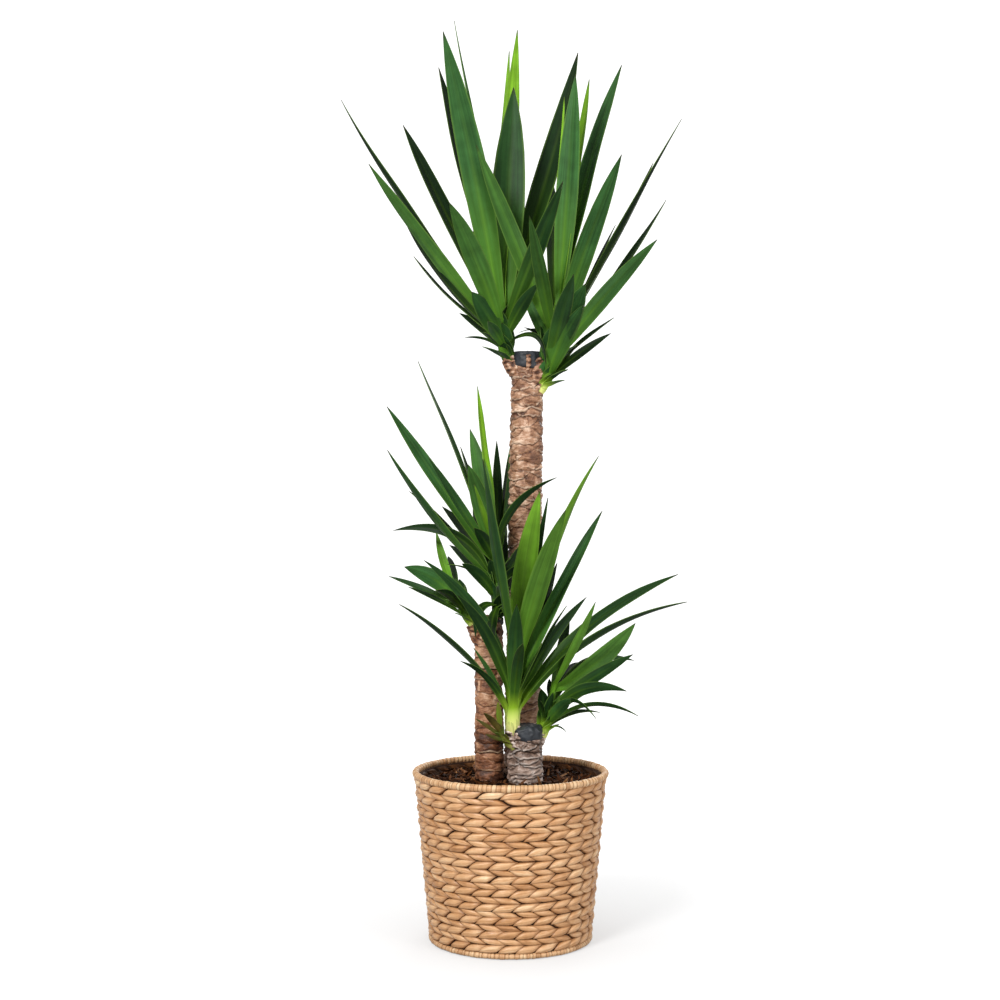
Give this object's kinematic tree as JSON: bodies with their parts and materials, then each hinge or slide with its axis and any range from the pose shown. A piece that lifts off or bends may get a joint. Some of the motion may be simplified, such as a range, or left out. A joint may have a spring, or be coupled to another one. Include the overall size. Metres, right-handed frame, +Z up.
{
  "type": "potted yucca in a woven basket",
  "caption": "Potted yucca houseplant with cut canes and sword-leaved shoots, growing in a nursery pot inside a round woven basket that stands on the floor.",
  "frame": {"origin": "centre of the basket's underside", "axes": "+Z up, -Y towards the viewer of the picture, +X to the viewer's right"},
  "size_m": [0.5511, 0.5, 1.4997],
  "materials": {
    "water_hyacinth": "satin",
    "hyacinth_binding": "satin",
    "pot_plastic": "matte",
    "soil_mix": "matte",
    "cane_bark": "matte",
    "wax_seal": "satin",
    "yucca_leaf": "satin"
  },
  "bodies": {
    "root": {"basket_weave": "water_hyacinth", "basket_rim": "hyacinth_binding", "basket_foot": "hyacinth_binding", "nursery_pot": "pot_plastic", "soil": "soil_mix", "cane_tall": "cane_bark", "cane_mid": "cane_bark", "cane_short": "cane_bark", "wax_cap_tall": "wax_seal", "wax_cap_mid": "wax_seal", "wax_cap_short": "wax_seal", "shoot_tall_left": "yucca_leaf", "shoot_tall_right": "yucca_leaf", "shoot_mid_main": "yucca_leaf", "shoot_mid_left": "yucca_leaf", "shoot_short_left": "yucca_leaf", "shoot_short_right": "yucca_leaf", "shoot_short_low": "yucca_leaf"}
  },
  "joints": []
}
